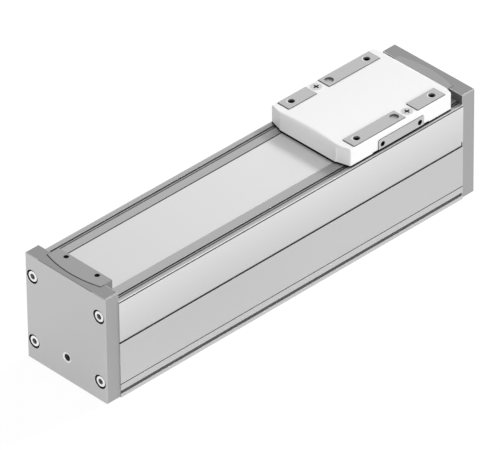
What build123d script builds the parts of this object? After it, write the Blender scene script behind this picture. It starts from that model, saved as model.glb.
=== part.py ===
from build123d import *
from math import sqrt
import os

os.makedirs("parts", exist_ok=True)

# Millimetres. X runs along the axis, Y across it and Z up from its underside.
# The carriage is drawn at the rear end of its stroke.

# Strip
strip_width = 51.4
strip_thickness = 0.3
strip_recess_depth = 0.6
strip_side_gap = 0.3
strip_end_overlap = 3.0
strip_float = 0.05
strip_rest = 5.2
magnet_width = 2.6
magnet_thickness = 2.0
magnet_inset = 1.2

# Profile
profile_length = 336.0
profile_width = 81.6
profile_height = 81.2
wall_thickness = 7.3
corner_block_width = 13.3
corner_block_height = 17.2
lip_thickness = 4.4
floor_chamber_width = 15.0
floor_chamber_roof = 4.0
floor_chamber_offset = 20.0
floor_chamber_bottom = 9.0
twin_groove_inset = 4.1
twin_groove_width = 0.8
twin_groove_depth = 3.0
twin_groove_ridge = 1.2
twin_groove_ridge_drop = 0.7
side_line_width = 0.5
side_line_depth = 0.5
side_line_low = 11.2
side_line_drop = 0.6
side_slot_height = 46.0
side_slot_width = 1.0
side_slot_depth = 2.0
side_slot_notch_length = 1.8
side_slot_notch_height = 4.4
clamping_groove_bottom = 3.0
clamping_groove_width = 2.8
clamping_groove_depth = 3.0
underside_slot_offset = 20.0
underside_slot_mouth = 4.2
underside_slot_lip = 1.8
underside_slot_width = 8.0
underside_slot_height = 2.8

# Screws
m5_thread = 5.0
m5_core = 4.2
m4_thread = 4.0
m4_core = 3.3
thread_play = 0.1
hole_play = 0.4
head_play = 1.0
head_margin = 1.0
thread_runout = 2.0

# End caps
cap_inset = 0.8
cap_rise = 7.7
cap_thickness = 12.4
cap_edge_break = 0.5
cap_screw_side = 7.5
cap_screw_low = 16.15
cap_screw_drop = 9.9
cap_screw_sink = 5.4
cap_screw_head_play = 2.5
cap_screw_bite = 14.0
port_height = 19.4
port_face = 8.4
port_face_depth = 0.4
port_mouth = 5.4
port_mouth_depth = 0.8
port_channel_width = 6.0
port_channel_depth = 3.0
port_channel_rise = 10.0
port_plug_key = 2.5
port_plug_key_depth = 2.0
tongue_gap = 1.0
tongue_thickness = 8.4
tongue_length = 7.6

# Strip clamps
clamp_margin = 1.0
clamp_reach = 7.2
clamp_depth = 7.5
clamp_arc_radius = 91.0
clamp_gap = 0.3
clamp_stand = 0.3
clamp_foot_height = 2.0
clamp_foot_reach = 1.0
set_screw_spread = 31.0
set_screw_inset = 3.6
set_screw_bore = 3.4
set_screw_play = 0.1
set_screw_key = 2.0
set_screw_key_depth = 1.5
set_screw_sink = 1.2
set_screw_bite = 4.2

# Guide rail
rail_end_gap = 3.0
rail_width = 20.0
rail_height = 18.0
rail_waist = 16.4
rail_foot = 5.5
rail_head = 3.5
rail_race = 2.0
rail_screw_pitch = 60.0
rail_screw_margin = 12.0
rail_screw_bite = 10.0
rail_head_sink = 6.5
rail_plug_thickness = 1.0

# Bearing blocks
guide_height = 30.0
guide_clearance = 0.3
block_width = 50.0
block_flange = 8.0
block_foot_width = 35.0
block_foot_clearance = 5.0
block_length = 32.0
block_gap = 2.0
block_screw_pitch = 24.0
block_screw_spread = 42.6
block_screw_bite = 7.0
return_cap_length = 7.0
return_cap_inset = 0.8
seal_length = 2.0
seal_inset = 1.4
nipple_width = 3.4
nipple_length = 4.0
nipple_bore = 1.0

# Carriage cover
cover_length = 107.4
cover_facet_length = 3.7
cover_side_inset = 1.5
cover_front_margin = 2.2
cover_front_step = 0.5
cover_lift = 1.0
cover_front_lift = 0.9
cover_height = 14.2
cover_crown = 0.6
cover_crown_width = 53.0
cover_wall = 1.6
cover_skin = 1.8
cover_end_radius = 4.0
cover_side_radius = 1.0
cover_fit = 0.2
cover_end_gap = 0.3
side_notch_length = 56.0
side_notch_height = 1.0
cover_screw_pad_gap = 6.5
cover_screw_inset = 5.8
cover_screw_head = 8.0
cover_screw_length = 10.0
cover_screw_cross = 4.2
cover_screw_cross_width = 1.1
cover_screw_cross_depth = 1.4

# Carriage body
pad_stand = 0.7
pad_width = 11.3
pad_side_inset = 6.8
pad_end_inset = 4.7
pad_long_reach = 5.3
pad_gap = 12.5
pad_foot = 3.0
mount_end_inset = 7.8
mount_recess_width = 7.0
mount_recess_depth = 1.6
mount_thread_depth = 11.6
mount_chamfer = 0.5
boss_length = 45.2
boss_height = 7.7
boss_corner = 2.0
boss_stand = 0.5
boss_hole_spacing = 37.0
boss_hole_rise = 3.4
boss_hole_depth = 7.0
body_lift = 0.8
body_end_inset = 5.2
body_strip_gap = 0.7
neck_end_inset = 21.7
neck_gap = 1.0
saddle_end_inset = 1.0
saddle_drop = 13.2
saddle_gap = 1.0
saddle_thickness = 12.0

# Path of the strip through the carriage
strip_lift = 7.0
strip_bend = 45.0
strip_rise_inset = 4.7
slider_thickness = 1.4
slider_end_inset = 1.0
slider_side_gap = 0.7
slider_gap = 0.1
presser_length = 11.4
presser_side_gap = 0.3
presser_gap = 0.3
wiper_thickness = 2.0
wiper_side_gap = 0.1
wiper_height = 8.5
wiper_gap = 0.1

# Buffers
buffer_width = 10.0
buffer_spread = 36.0
buffer_gap = 0.3
buffer_stem_width = 5.0
buffer_stem_length = 6.0

# Places that follow from the sizes above
half_length = profile_length / 2
half_width = profile_width / 2
cap_face = half_length + cap_thickness
cap_height = profile_height + cap_rise
opening_width = strip_width - 2 * strip_rest
strip_bottom = profile_height - strip_recess_depth
strip_end = half_length + strip_end_overlap
clamp_width = strip_width + 2 * clamp_margin
cap_screw_y = half_width - cap_screw_side
cap_screw_heights = (cap_screw_low, profile_height - cap_screw_drop)
set_screw_x = half_length - set_screw_inset
set_screw_y = set_screw_spread / 2
clamp_top = cap_height + clamp_stand
saddle_top = profile_height - saddle_drop
block_top = saddle_top - saddle_thickness
rail_seat_height = block_top - guide_height
rail_length = profile_length - 2 * rail_end_gap
rail_top = rail_seat_height + rail_height
block_bottom = rail_seat_height + block_foot_clearance
block_reach = block_length / 2 + return_cap_length
block_offset = block_reach + seal_length + block_gap / 2
cover_end = cover_length / 2
cover_side_length = cover_length - 2 * cover_facet_length
cover_width = profile_width - 2 * cover_side_inset
cover_side = cover_width / 2
cover_bottom = profile_height + cover_lift
cover_front_bottom = profile_height + cover_front_lift
cover_top = cover_bottom + cover_height
crest = cover_top + cover_crown
roof = cover_top - cover_skin
front_width = strip_width + 2 * cover_front_margin
carriage_x = half_length - clamp_reach - cover_end_gap - cover_end
pad_end = cover_side_length / 2 - pad_end_inset
pad_y = cover_side - pad_side_inset
pad_top = cover_top + pad_stand
pad_short_length = pad_end - pad_long_reach - pad_gap
mount_x = pad_end - mount_end_inset
cover_screw_x = pad_long_reach + cover_screw_pad_gap
cover_screw_y = cover_side - cover_screw_inset
boss_face = cover_side + boss_stand
boss_bottom = cover_bottom + side_notch_height
body_bottom = profile_height + body_lift
body_side = cover_side - cover_wall - cover_fit
body_inner = strip_width / 2 + body_strip_gap
body_end = cover_end - body_end_inset
neck_length = 2 * (cover_end - neck_end_inset)
slider_length = neck_length - 2 * slider_end_inset
saddle_length = 2 * (block_offset + block_reach - saddle_end_inset)
saddle_width = 2 * (half_width - corner_block_width - saddle_gap)
buffer_height = block_top + saddle_thickness / 2
loop_bottom = strip_bottom + strip_float
loop_end = cover_end - strip_float
rise_start = cover_end - strip_rise_inset
presser_end = cover_end - cover_front_step - cover_wall - cover_fit - wiper_thickness
MIN, MID, MAX = Align.MIN, Align.CENTER, Align.MAX


def at_carriage(height):
    """The horizontal plane at this height, centred on the carriage."""
    return Plane(origin=(carriage_x, 0, height))


def along_carriage():
    """The upright plane along the axis, centred on the carriage."""
    return Plane(origin=(carriage_x, 0, 0), x_dir=(1, 0, 0), z_dir=(0, -1, 0))


def boss_plane(side, height):
    """The plane of a side boss's face, seen from outside."""
    return Plane(origin=(carriage_x, side * boss_face, height), x_dir=(-side, 0, 0), z_dir=(0, side, 0))


def socket_screw(thread, core, grip, bite):
    """A cap screw with its head on the XY plane and its shank running down."""
    with BuildPart() as screw:
        Cylinder((1.5 * thread + head_margin) / 2, thread, align=(MID, MID, MIN))
        Cylinder(thread / 2, grip, align=(MID, MID, MAX))
        Cylinder((core - thread_play) / 2, grip + bite, align=(MID, MID, MAX))
        with BuildSketch(Plane.XY.offset(thread)):
            RegularPolygon((thread - head_margin) / 2, 6, major_radius=False)
        extrude(amount=-thread / 2, mode=Mode.SUBTRACT)
    return screw.part


def head_bore(thread, play=head_play):
    """Radius of the counterbore for a cap screw's head."""
    return (1.5 * thread + head_margin + play) / 2


def add_wave(shift, reach):
    """The strip's path through the carriage, moved off its lower face by shift."""
    cosine = 1 - strip_lift / (2 * strip_bend)
    sine = sqrt(1 - cosine * cosine)
    plateau = rise_start - 2 * strip_bend * sine
    low = loop_bottom + shift
    high = low + strip_lift
    middle_x = rise_start - (strip_bend - shift) * sine
    middle_z = loop_bottom + strip_lift / 2 + shift * cosine
    for side in (-1, 1):
        lower = TangentArc((side * rise_start, low), (side * middle_x, middle_z), tangent=(-side, 0))
        TangentArc(lower @ 1, (side * plateau, high), tangent=lower % 1)
        if reach > rise_start:
            Line((side * reach, low), (side * rise_start, low))
    Line((-plateau, high), (plateau, high))


def rail_outline(clearance=0.0):
    """The guide rail's section, grown all round by the clearance."""
    edge = rail_width / 2
    waist = rail_waist / 2
    lower = rail_seat_height + rail_foot
    upper = rail_top - rail_head
    with BuildSketch() as outline:
        with BuildLine():
            Polyline((0, rail_seat_height), (edge, rail_seat_height), (edge, lower),
                     (waist, lower + rail_race), (waist, upper - rail_race), (edge, upper),
                     (edge, rail_top), (0, rail_top), close=True)
        make_face()
        mirror(about=Plane.YZ)
        if clearance:
            offset(amount=clearance, kind=Kind.INTERSECTION)
    return outline.sketch


def block_outline(inset):
    """A bearing block's section, drawn in by the inset, with its passage for the rail."""
    passage = rail_outline(guide_clearance)
    with BuildSketch() as outline:
        with Locations((0, block_top - inset)):
            Rectangle(block_width - 2 * inset, block_flange - inset, align=(MID, MAX))
        with Locations((0, block_bottom)):
            Rectangle(block_foot_width - 2 * inset, block_top - block_bottom - block_flange,
                      align=(MID, MIN))
        add(passage, mode=Mode.SUBTRACT)
    return outline.sketch


def pads_plan(clearance=0.0):
    """The four mounting pads, a long and a short one on each side, turned end for end."""
    long_start = -pad_end + pad_short_length + pad_gap
    with BuildSketch() as plan:
        for side in (-1, 1):
            for low, high in ((-pad_end, -pad_end + pad_short_length), (long_start, pad_end)):
                with Locations((side * (low + high) / 2, side * pad_y)):
                    Rectangle(high - low + 2 * clearance, pad_width + 2 * clearance)
    return plan.sketch


def boss_outline(clearance=0.0):
    """A side boss's face, with its upper corners rounded."""
    with BuildSketch() as outline:
        Rectangle(boss_length + 2 * clearance, boss_height + 2 * clearance)
        fillet(vertices().group_by(Axis.Y)[-1], boss_corner)
    return outline.sketch


def cover_plan(inset=0.0):
    """The cover seen from above without its proud ends, drawn in by the inset."""
    end = cover_end - cover_front_step
    with BuildSketch() as plan:
        with BuildLine():
            Polyline((0, 0), (-end, 0), (-end, front_width / 2), (-cover_side_length / 2, cover_side),
                     (0, cover_side), close=True)
        make_face()
        mirror(about=Plane.XZ)
        mirror(about=Plane.YZ)
        if inset:
            offset(amount=-inset, kind=Kind.INTERSECTION, mode=Mode.REPLACE)
    return plan.sketch


# Profile barrel
rail_screw_count = int((rail_length - 2 * rail_screw_margin) / rail_screw_pitch) + 1
rail_screw_row = GridLocations(rail_screw_pitch, 1, rail_screw_count, 1).locations
twin_groove_outer = half_width - twin_groove_inset
twin_groove_ridge_outer = twin_groove_outer - twin_groove_width
twin_groove_ridge_inner = twin_groove_ridge_outer - twin_groove_ridge
with BuildPart() as profile_barrel:
    with BuildSketch(Plane.YZ):
        Rectangle(half_width, profile_height, align=(MIN, MIN))
        with BuildLine():
            wall = half_width - wall_thickness
            block = half_width - corner_block_width
            block_bottom_edge = profile_height - corner_block_height
            lip_bottom = strip_bottom - lip_thickness
            Polyline((0, rail_seat_height), (wall, rail_seat_height),
                     (wall, block_bottom_edge - (wall - block)), (block, block_bottom_edge),
                     (block, lip_bottom), (opening_width / 2, lip_bottom),
                     (opening_width / 2, profile_height), (0, profile_height), close=True)
        make_face(mode=Mode.SUBTRACT)
        with Locations((0, profile_height)):
            Rectangle(strip_width / 2 + strip_side_gap, strip_recess_depth, align=(MIN, MAX),
                      mode=Mode.SUBTRACT)
        with Locations((opening_width / 2 + magnet_inset, strip_bottom)):
            Rectangle(magnet_width, magnet_thickness, align=(MIN, MAX), mode=Mode.SUBTRACT)
        with Locations((twin_groove_outer, profile_height), (twin_groove_ridge_inner, profile_height)):
            Rectangle(twin_groove_width, twin_groove_depth, align=(MAX, MAX), mode=Mode.SUBTRACT)
        with Locations((twin_groove_ridge_outer, profile_height)):
            Rectangle(twin_groove_ridge, twin_groove_ridge_drop, align=(MAX, MAX), mode=Mode.SUBTRACT)
        with Locations((half_width, side_line_low), (half_width, profile_height - side_line_drop)):
            Rectangle(side_line_depth, side_line_width, align=(MAX, MID), mode=Mode.SUBTRACT)
        with Locations((half_width, side_slot_height)):
            Rectangle(side_slot_depth, side_slot_width, align=(MAX, MID), mode=Mode.SUBTRACT)
        with Locations((half_width, clamping_groove_bottom)):
            Rectangle(clamping_groove_depth, clamping_groove_width, align=(MAX, MIN), mode=Mode.SUBTRACT)
        with Locations((underside_slot_offset, 0)):
            Rectangle(underside_slot_mouth, underside_slot_lip, align=(MID, MIN), mode=Mode.SUBTRACT)
        with Locations((underside_slot_offset, underside_slot_lip)):
            Rectangle(underside_slot_width, underside_slot_height, align=(MID, MIN), mode=Mode.SUBTRACT)
        with Locations((floor_chamber_offset, floor_chamber_bottom)):
            Rectangle(floor_chamber_width, rail_seat_height - floor_chamber_roof - floor_chamber_bottom,
                      align=(MID, MIN), mode=Mode.SUBTRACT)
        with Locations(*[(cap_screw_y, height) for height in cap_screw_heights]):
            Circle(m5_core / 2, mode=Mode.SUBTRACT)
        mirror(about=Plane.YZ)
    extrude(amount=half_length, both=True)
    for side in (-1, 1):
        with Locations((half_length, side * half_width, side_slot_height - side_slot_width / 2)):
            Box(2 * side_slot_notch_length, 2 * side_slot_depth, side_slot_notch_height,
                align=(MID, MID, MIN), mode=Mode.SUBTRACT)
    with BuildSketch(Plane.XY.offset(rail_seat_height)):
        with Locations(*rail_screw_row):
            Circle(m5_core / 2)
    extrude(amount=-(rail_screw_bite + thread_runout), mode=Mode.SUBTRACT)
profile_barrel.part.label = "profile_barrel"
export_step(profile_barrel.part, "parts/profile_barrel.step")

# End caps, each with an arc pocket for its strip clamp and a tongue under the strip
cap_screw_places = [(y, z) for y in (-cap_screw_y, cap_screw_y) for z in cap_screw_heights]
set_screw_places = [(-set_screw_x, -set_screw_y), (-set_screw_x, set_screw_y)]
cap_outer = Plane.YZ.offset(-cap_face)
cap_inner = Plane.YZ.offset(-half_length)
foot_top = profile_height + clamp_foot_height
with BuildPart() as end_cap_front:
    with BuildSketch(cap_outer):
        Rectangle(profile_width - 2 * cap_inset, cap_height, align=(MID, MIN))
    extrude(amount=cap_thickness)
    chamfer(edges().filter_by(Axis.X) + faces().sort_by(Axis.X)[0].edges(), cap_edge_break)
    with BuildSketch(cap_inner):
        with Locations((0, strip_bottom)):
            Rectangle(opening_width - 2 * tongue_gap, tongue_thickness, align=(MID, MAX))
    extrude(amount=tongue_length)
    with BuildSketch(cap_outer):
        with Locations(*cap_screw_places):
            Circle(head_bore(m5_thread, cap_screw_head_play))
    extrude(amount=cap_screw_sink, mode=Mode.SUBTRACT)
    with BuildSketch(cap_outer):
        with Locations(*cap_screw_places):
            Circle((m5_thread + hole_play) / 2)
    extrude(amount=cap_thickness, mode=Mode.SUBTRACT)
    with BuildSketch(cap_outer):
        with Locations((0, port_height)):
            Circle(port_face / 2)
    extrude(amount=port_face_depth, mode=Mode.SUBTRACT)
    with BuildSketch(cap_outer):
        with Locations((0, port_height)):
            Circle(port_mouth / 2)
    extrude(amount=port_face_depth + port_mouth_depth, mode=Mode.SUBTRACT)
    with BuildSketch(cap_outer):
        with Locations((0, port_height)):
            Circle(m5_core / 2)
    extrude(amount=cap_thickness, mode=Mode.SUBTRACT)
    with BuildSketch(cap_inner):
        with Locations((0, port_height - port_channel_width / 2)):
            Rectangle(port_channel_width, rail_seat_height + port_channel_rise
                      - port_height + port_channel_width / 2, align=(MID, MIN))
    extrude(amount=-port_channel_depth, mode=Mode.SUBTRACT)
    with BuildSketch(cap_inner):
        with Locations((-buffer_spread / 2, buffer_height), (buffer_spread / 2, buffer_height)):
            Circle(buffer_stem_width / 2)
    extrude(amount=-buffer_stem_length, mode=Mode.SUBTRACT)
    for reach, ceiling in ((clamp_gap, cap_height), (clamp_gap + clamp_foot_reach, foot_top + clamp_gap)):
        with BuildSketch(Plane.XY.offset(strip_bottom)):
            with Locations((clamp_arc_radius - half_length - clamp_depth - reach, 0)):
                Circle(clamp_arc_radius)
            with Locations((-half_length, 0)):
                Rectangle(cap_thickness, clamp_width + 2 * clamp_gap, align=(MAX, MID),
                          mode=Mode.INTERSECT)
        extrude(amount=ceiling - strip_bottom, mode=Mode.SUBTRACT)
    with BuildSketch(Plane.XY.offset(strip_bottom)):
        with Locations(*set_screw_places):
            Circle(set_screw_bore / 2 + set_screw_play)
    extrude(amount=-tongue_thickness, mode=Mode.SUBTRACT)
end_cap_front.part.label = "end_cap_front"
export_step(end_cap_front.part, "parts/end_cap_front.step")

with BuildPart() as end_cap_rear:
    mirror(end_cap_front.part, about=Plane.YZ)
end_cap_rear.part.label = "end_cap_rear"
export_step(end_cap_rear.part, "parts/end_cap_rear.step")

cap_screw = socket_screw(m5_thread, m5_core, cap_thickness - cap_screw_sink, cap_screw_bite)
with BuildPart() as cap_screws_front:
    with Locations(*[Plane(origin=(cap_screw_sink - cap_face, y, z), z_dir=(-1, 0, 0))
                     for y, z in cap_screw_places]):
        add(cap_screw)
cap_screws_front.part.label = "cap_screws_front"
export_step(cap_screws_front.part, "parts/cap_screws_front.step")

with BuildPart() as cap_screws_rear:
    mirror(cap_screws_front.part, about=Plane.YZ)
cap_screws_rear.part.label = "cap_screws_rear"
export_step(cap_screws_rear.part, "parts/cap_screws_rear.step")

# Port plugs
plug_sink = port_face_depth + port_mouth_depth
with BuildPart() as port_plug_front:
    with BuildSketch(cap_outer.offset(plug_sink)):
        with Locations((0, port_height)):
            Circle((m5_core - thread_play) / 2)
    extrude(amount=cap_thickness - port_channel_depth - plug_sink)
    with BuildSketch(cap_outer.offset(plug_sink)):
        with Locations((0, port_height)):
            RegularPolygon(port_plug_key / 2, 6, major_radius=False)
    extrude(amount=port_plug_key_depth, mode=Mode.SUBTRACT)
port_plug_front.part.label = "port_plug_front"
export_step(port_plug_front.part, "parts/port_plug_front.step")

with BuildPart() as port_plug_rear:
    mirror(port_plug_front.part, about=Plane.YZ)
port_plug_rear.part.label = "port_plug_rear"
export_step(port_plug_rear.part, "parts/port_plug_rear.step")

# Strip clamps, with a foot hooked under the edge of the cap's pocket
with BuildPart() as strip_clamp_front:
    for reach, ceiling in ((0.0, clamp_top), (clamp_foot_reach, foot_top)):
        with BuildSketch(Plane.XY.offset(profile_height)):
            with Locations((clamp_arc_radius - half_length - clamp_depth - reach, 0)):
                Circle(clamp_arc_radius)
            with Locations((clamp_reach - half_length, 0)):
                Rectangle(cap_thickness + clamp_reach, clamp_width, align=(MAX, MID),
                          mode=Mode.INTERSECT)
        extrude(amount=ceiling - profile_height)
    with BuildSketch(Plane.XY.offset(strip_bottom + strip_thickness)):
        with Locations((clamp_reach - half_length, 0)):
            Rectangle(clamp_reach + strip_end_overlap, strip_width, align=(MAX, MID))
    extrude(amount=strip_recess_depth - strip_thickness)
    with BuildSketch(Plane.XY.offset(clamp_top)):
        with Locations(*set_screw_places):
            Circle(set_screw_bore / 2)
    extrude(amount=strip_bottom - clamp_top, mode=Mode.SUBTRACT)
strip_clamp_front.part.label = "strip_clamp_front"
export_step(strip_clamp_front.part, "parts/strip_clamp_front.step")

with BuildPart() as strip_clamp_rear:
    mirror(strip_clamp_front.part, about=Plane.YZ)
strip_clamp_rear.part.label = "strip_clamp_rear"
export_step(strip_clamp_rear.part, "parts/strip_clamp_rear.step")

with BuildPart() as clamp_screws_front:
    with BuildSketch(Plane.XY.offset(clamp_top - set_screw_sink)):
        with Locations(*set_screw_places):
            Circle(set_screw_bore / 2 - set_screw_play)
    extrude(amount=strip_bottom - set_screw_bite - clamp_top + set_screw_sink)
    with BuildSketch(Plane.XY.offset(clamp_top - set_screw_sink)):
        with Locations(*set_screw_places):
            RegularPolygon(set_screw_key / 2, 6, major_radius=False)
    extrude(amount=-set_screw_key_depth, mode=Mode.SUBTRACT)
clamp_screws_front.part.label = "clamp_screws_front"
export_step(clamp_screws_front.part, "parts/clamp_screws_front.step")

with BuildPart() as clamp_screws_rear:
    mirror(clamp_screws_front.part, about=Plane.YZ)
clamp_screws_rear.part.label = "clamp_screws_rear"
export_step(clamp_screws_rear.part, "parts/clamp_screws_rear.step")

# Cover strip, as its two flat stretches on either side of the carriage
with BuildPart() as cover_strip:
    for low, high in ((-strip_end, carriage_x - cover_end), (carriage_x + cover_end, strip_end)):
        with BuildSketch(Plane.XY.offset(strip_bottom)):
            with Locations((low, 0)):
                Rectangle(high - low, strip_width, align=(MIN, MID))
        extrude(amount=strip_thickness)
    with BuildSketch(Plane.XY.offset(strip_bottom)):
        with Locations(*[(end * set_screw_x, y) for end in (-1, 1) for y in (-set_screw_y, set_screw_y)]):
            Circle(set_screw_bore / 2 + set_screw_play)
    extrude(amount=strip_thickness, mode=Mode.SUBTRACT)
cover_strip.part.label = "cover_strip"
export_step(cover_strip.part, "parts/cover_strip.step")

# The length of the strip that is lifted over the carriage body, in two matched bends at each end
with BuildPart() as strip_loop:
    with BuildSketch(along_carriage()):
        with BuildLine():
            add_wave(0, loop_end)
            add_wave(strip_thickness, loop_end)
            Line((-loop_end, loop_bottom), (-loop_end, loop_bottom + strip_thickness))
            Line((loop_end, loop_bottom), (loop_end, loop_bottom + strip_thickness))
        make_face()
    extrude(amount=strip_width / 2, both=True)
strip_loop.part.label = "strip_loop"
export_step(strip_loop.part, "parts/strip_loop.step")

# Magnet strips that hold the strip down
with BuildPart() as magnet_strips:
    with BuildSketch(Plane.YZ):
        with Locations((opening_width / 2 + magnet_inset, strip_bottom)):
            Rectangle(magnet_width, magnet_thickness, align=(MIN, MAX))
        mirror(about=Plane.YZ)
    extrude(amount=half_length, both=True)
magnet_strips.part.label = "magnet_strips"
export_step(magnet_strips.part, "parts/magnet_strips.step")

# Guide rail, its screws and the plugs over their heads
with BuildPart() as guide_rail:
    with BuildSketch(Plane.YZ):
        add(rail_outline())
    extrude(amount=rail_length / 2, both=True)
    with BuildSketch(Plane.XY.offset(rail_top)):
        with Locations(*rail_screw_row):
            Circle(head_bore(m5_thread))
    extrude(amount=-rail_head_sink, mode=Mode.SUBTRACT)
    with BuildSketch(Plane.XY.offset(rail_top)):
        with Locations(*rail_screw_row):
            Circle((m5_thread + hole_play) / 2)
    extrude(amount=-rail_height, mode=Mode.SUBTRACT)
guide_rail.part.label = "guide_rail"
export_step(guide_rail.part, "parts/guide_rail.step")

rail_screw = socket_screw(m5_thread, m5_core, rail_height - rail_head_sink, rail_screw_bite)
with BuildPart() as rail_screws:
    with Locations(*[Plane(origin=(place.position.X, 0, rail_top - rail_head_sink))
                     for place in rail_screw_row]):
        add(rail_screw)
rail_screws.part.label = "rail_screws"
export_step(rail_screws.part, "parts/rail_screws.step")

with BuildPart() as rail_plugs:
    with BuildSketch(Plane.XY.offset(rail_top)):
        with Locations(*rail_screw_row):
            Circle(head_bore(m5_thread))
    extrude(amount=-rail_plug_thickness)
rail_plugs.part.label = "rail_plugs"
export_step(rail_plugs.part, "parts/rail_plugs.step")

# Bearing blocks, with return caps and seals at their ends
block_section = block_outline(0.0)
with BuildPart() as bearing_block_front:
    with BuildSketch(Plane.YZ.offset(carriage_x - block_offset - block_length / 2)):
        add(block_section)
    extrude(amount=block_length)
    with BuildSketch(Plane(origin=(carriage_x - block_offset, 0, block_top))):
        with GridLocations(block_screw_pitch, block_screw_spread, 2, 2):
            Circle((m4_thread + hole_play) / 2)
    extrude(amount=-block_flange, mode=Mode.SUBTRACT)
bearing_block_front.part.label = "bearing_block_front"
export_step(bearing_block_front.part, "parts/bearing_block_front.step")

with BuildPart() as bearing_block_rear:
    mirror(bearing_block_front.part, about=Plane.YZ.offset(carriage_x))
bearing_block_rear.part.label = "bearing_block_rear"
export_step(bearing_block_rear.part, "parts/bearing_block_rear.step")

block_centres = (carriage_x - block_offset, carriage_x + block_offset)
return_cap_section = block_outline(return_cap_inset)
with BuildPart() as return_caps:
    for centre in block_centres:
        for start in (centre - block_reach, centre + block_length / 2):
            with BuildSketch(Plane.YZ.offset(start)):
                add(return_cap_section)
            extrude(amount=return_cap_length)
return_caps.part.label = "return_caps"
export_step(return_caps.part, "parts/return_caps.step")

seal_section = block_outline(seal_inset)
with BuildPart() as block_seals:
    for centre in block_centres:
        for start in (centre - block_reach - seal_length, centre + block_reach):
            with BuildSketch(Plane.YZ.offset(start)):
                add(seal_section)
            extrude(amount=seal_length)
block_seals.part.label = "block_seals"
export_step(block_seals.part, "parts/block_seals.step")

with BuildPart() as grease_nipples:
    nipple_start = block_offset + block_reach + seal_length
    with BuildSketch(Plane(origin=(carriage_x, 0, block_top - block_flange / 2))):
        with BuildLine():
            outer = nipple_start + nipple_length
            Polyline((nipple_start, nipple_bore / 2), (outer, nipple_bore / 2),
                     (outer, nipple_width / 2 - nipple_bore / 2), (outer - nipple_bore, nipple_width / 2),
                     (nipple_start, nipple_width / 2), close=True)
        make_face()
        mirror(about=Plane.YZ)
    revolve(axis=Axis((carriage_x, 0, block_top - block_flange / 2), (1, 0, 0)))
grease_nipples.part.label = "grease_nipples"
export_step(grease_nipples.part, "parts/grease_nipples.step")

block_screw = socket_screw(m4_thread, m4_core, block_flange, block_screw_bite)
with BuildPart() as block_screws:
    with Locations(*[Plane(origin=(centre + x, y, block_top - block_flange), z_dir=(0, 0, -1))
                     for centre in block_centres
                     for x in (-block_screw_pitch / 2, block_screw_pitch / 2)
                     for y in (-block_screw_spread / 2, block_screw_spread / 2)]):
        add(block_screw)
block_screws.part.label = "block_screws"
export_step(block_screws.part, "parts/block_screws.step")

# Carriage body: a saddle on the blocks, a neck through the opening and a bridge under the strip
with BuildPart() as carriage_body:
    with BuildSketch(at_carriage(block_top)):
        Rectangle(saddle_length, saddle_width)
    extrude(amount=saddle_thickness)
    with BuildSketch(at_carriage(saddle_top)):
        Rectangle(neck_length, opening_width - 2 * neck_gap)
    extrude(amount=body_bottom - saddle_top)
    with BuildSketch(at_carriage(body_bottom)):
        Rectangle(neck_length, 2 * body_side)
        with Locations((0, (body_inner + body_side) / 2), (0, -(body_inner + body_side) / 2)):
            Rectangle(2 * body_end, body_side - body_inner)
    extrude(amount=roof - body_bottom)
    with BuildSketch(along_carriage()):
        with BuildLine():
            seat = -slider_thickness - slider_gap
            add_wave(seat, rise_start)
            Polyline((-rise_start, loop_bottom + seat), (-rise_start, crest), (rise_start, crest),
                     (rise_start, loop_bottom + seat))
        make_face()
    extrude(amount=body_inner, both=True, mode=Mode.SUBTRACT)
    with BuildSketch(at_carriage(roof - pad_foot)):
        add(pads_plan())
    extrude(amount=pad_top - roof + pad_foot)
    with BuildSketch(boss_plane(-1, boss_bottom + boss_height / 2)):
        add(boss_outline())
    extrude(amount=body_side - pad_foot - boss_face)
    with BuildSketch(boss_plane(1, boss_bottom + boss_height / 2)):
        add(boss_outline())
    extrude(amount=body_side - pad_foot - boss_face)
    with BuildSketch(at_carriage(pad_top)):
        with GridLocations(1, 2 * pad_y, 1, 2):
            Circle(mount_recess_width / 2)
    extrude(amount=-mount_recess_depth, mode=Mode.SUBTRACT)
    with BuildSketch(at_carriage(pad_top)):
        with GridLocations(2 * mount_x, 2 * pad_y, 2, 2):
            Circle(m5_core / 2)
    extrude(amount=-mount_thread_depth, mode=Mode.SUBTRACT)
    with Locations(at_carriage(pad_top)):
        with GridLocations(2 * mount_x, 2 * pad_y, 2, 2):
            Cone(m5_core / 2, m5_core / 2 + mount_chamfer, mount_chamfer, align=(MID, MID, MAX),
                 mode=Mode.SUBTRACT)
    with BuildSketch(at_carriage(roof)):
        with Locations((-cover_screw_x, cover_screw_y), (cover_screw_x, -cover_screw_y)):
            Circle(m4_core / 2)
    extrude(amount=-cover_screw_length, mode=Mode.SUBTRACT)
    with BuildSketch(boss_plane(-1, boss_bottom + boss_hole_rise)):
        with GridLocations(boss_hole_spacing, 1, 2, 1):
            Circle(m4_core / 2)
    extrude(amount=-boss_hole_depth, mode=Mode.SUBTRACT)
    with BuildSketch(boss_plane(1, boss_bottom + boss_hole_rise)):
        with GridLocations(boss_hole_spacing, 1, 2, 1):
            Circle(m4_core / 2)
    extrude(amount=-boss_hole_depth, mode=Mode.SUBTRACT)
    with BuildSketch(at_carriage(block_top)):
        for centre in (-block_offset, block_offset):
            with Locations((centre, 0)):
                with GridLocations(block_screw_pitch, block_screw_spread, 2, 2):
                    Circle(m4_core / 2)
    extrude(amount=block_screw_bite + thread_runout, mode=Mode.SUBTRACT)
carriage_body.part.label = "carriage_body"
export_step(carriage_body.part, "parts/carriage_body.step")

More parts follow.
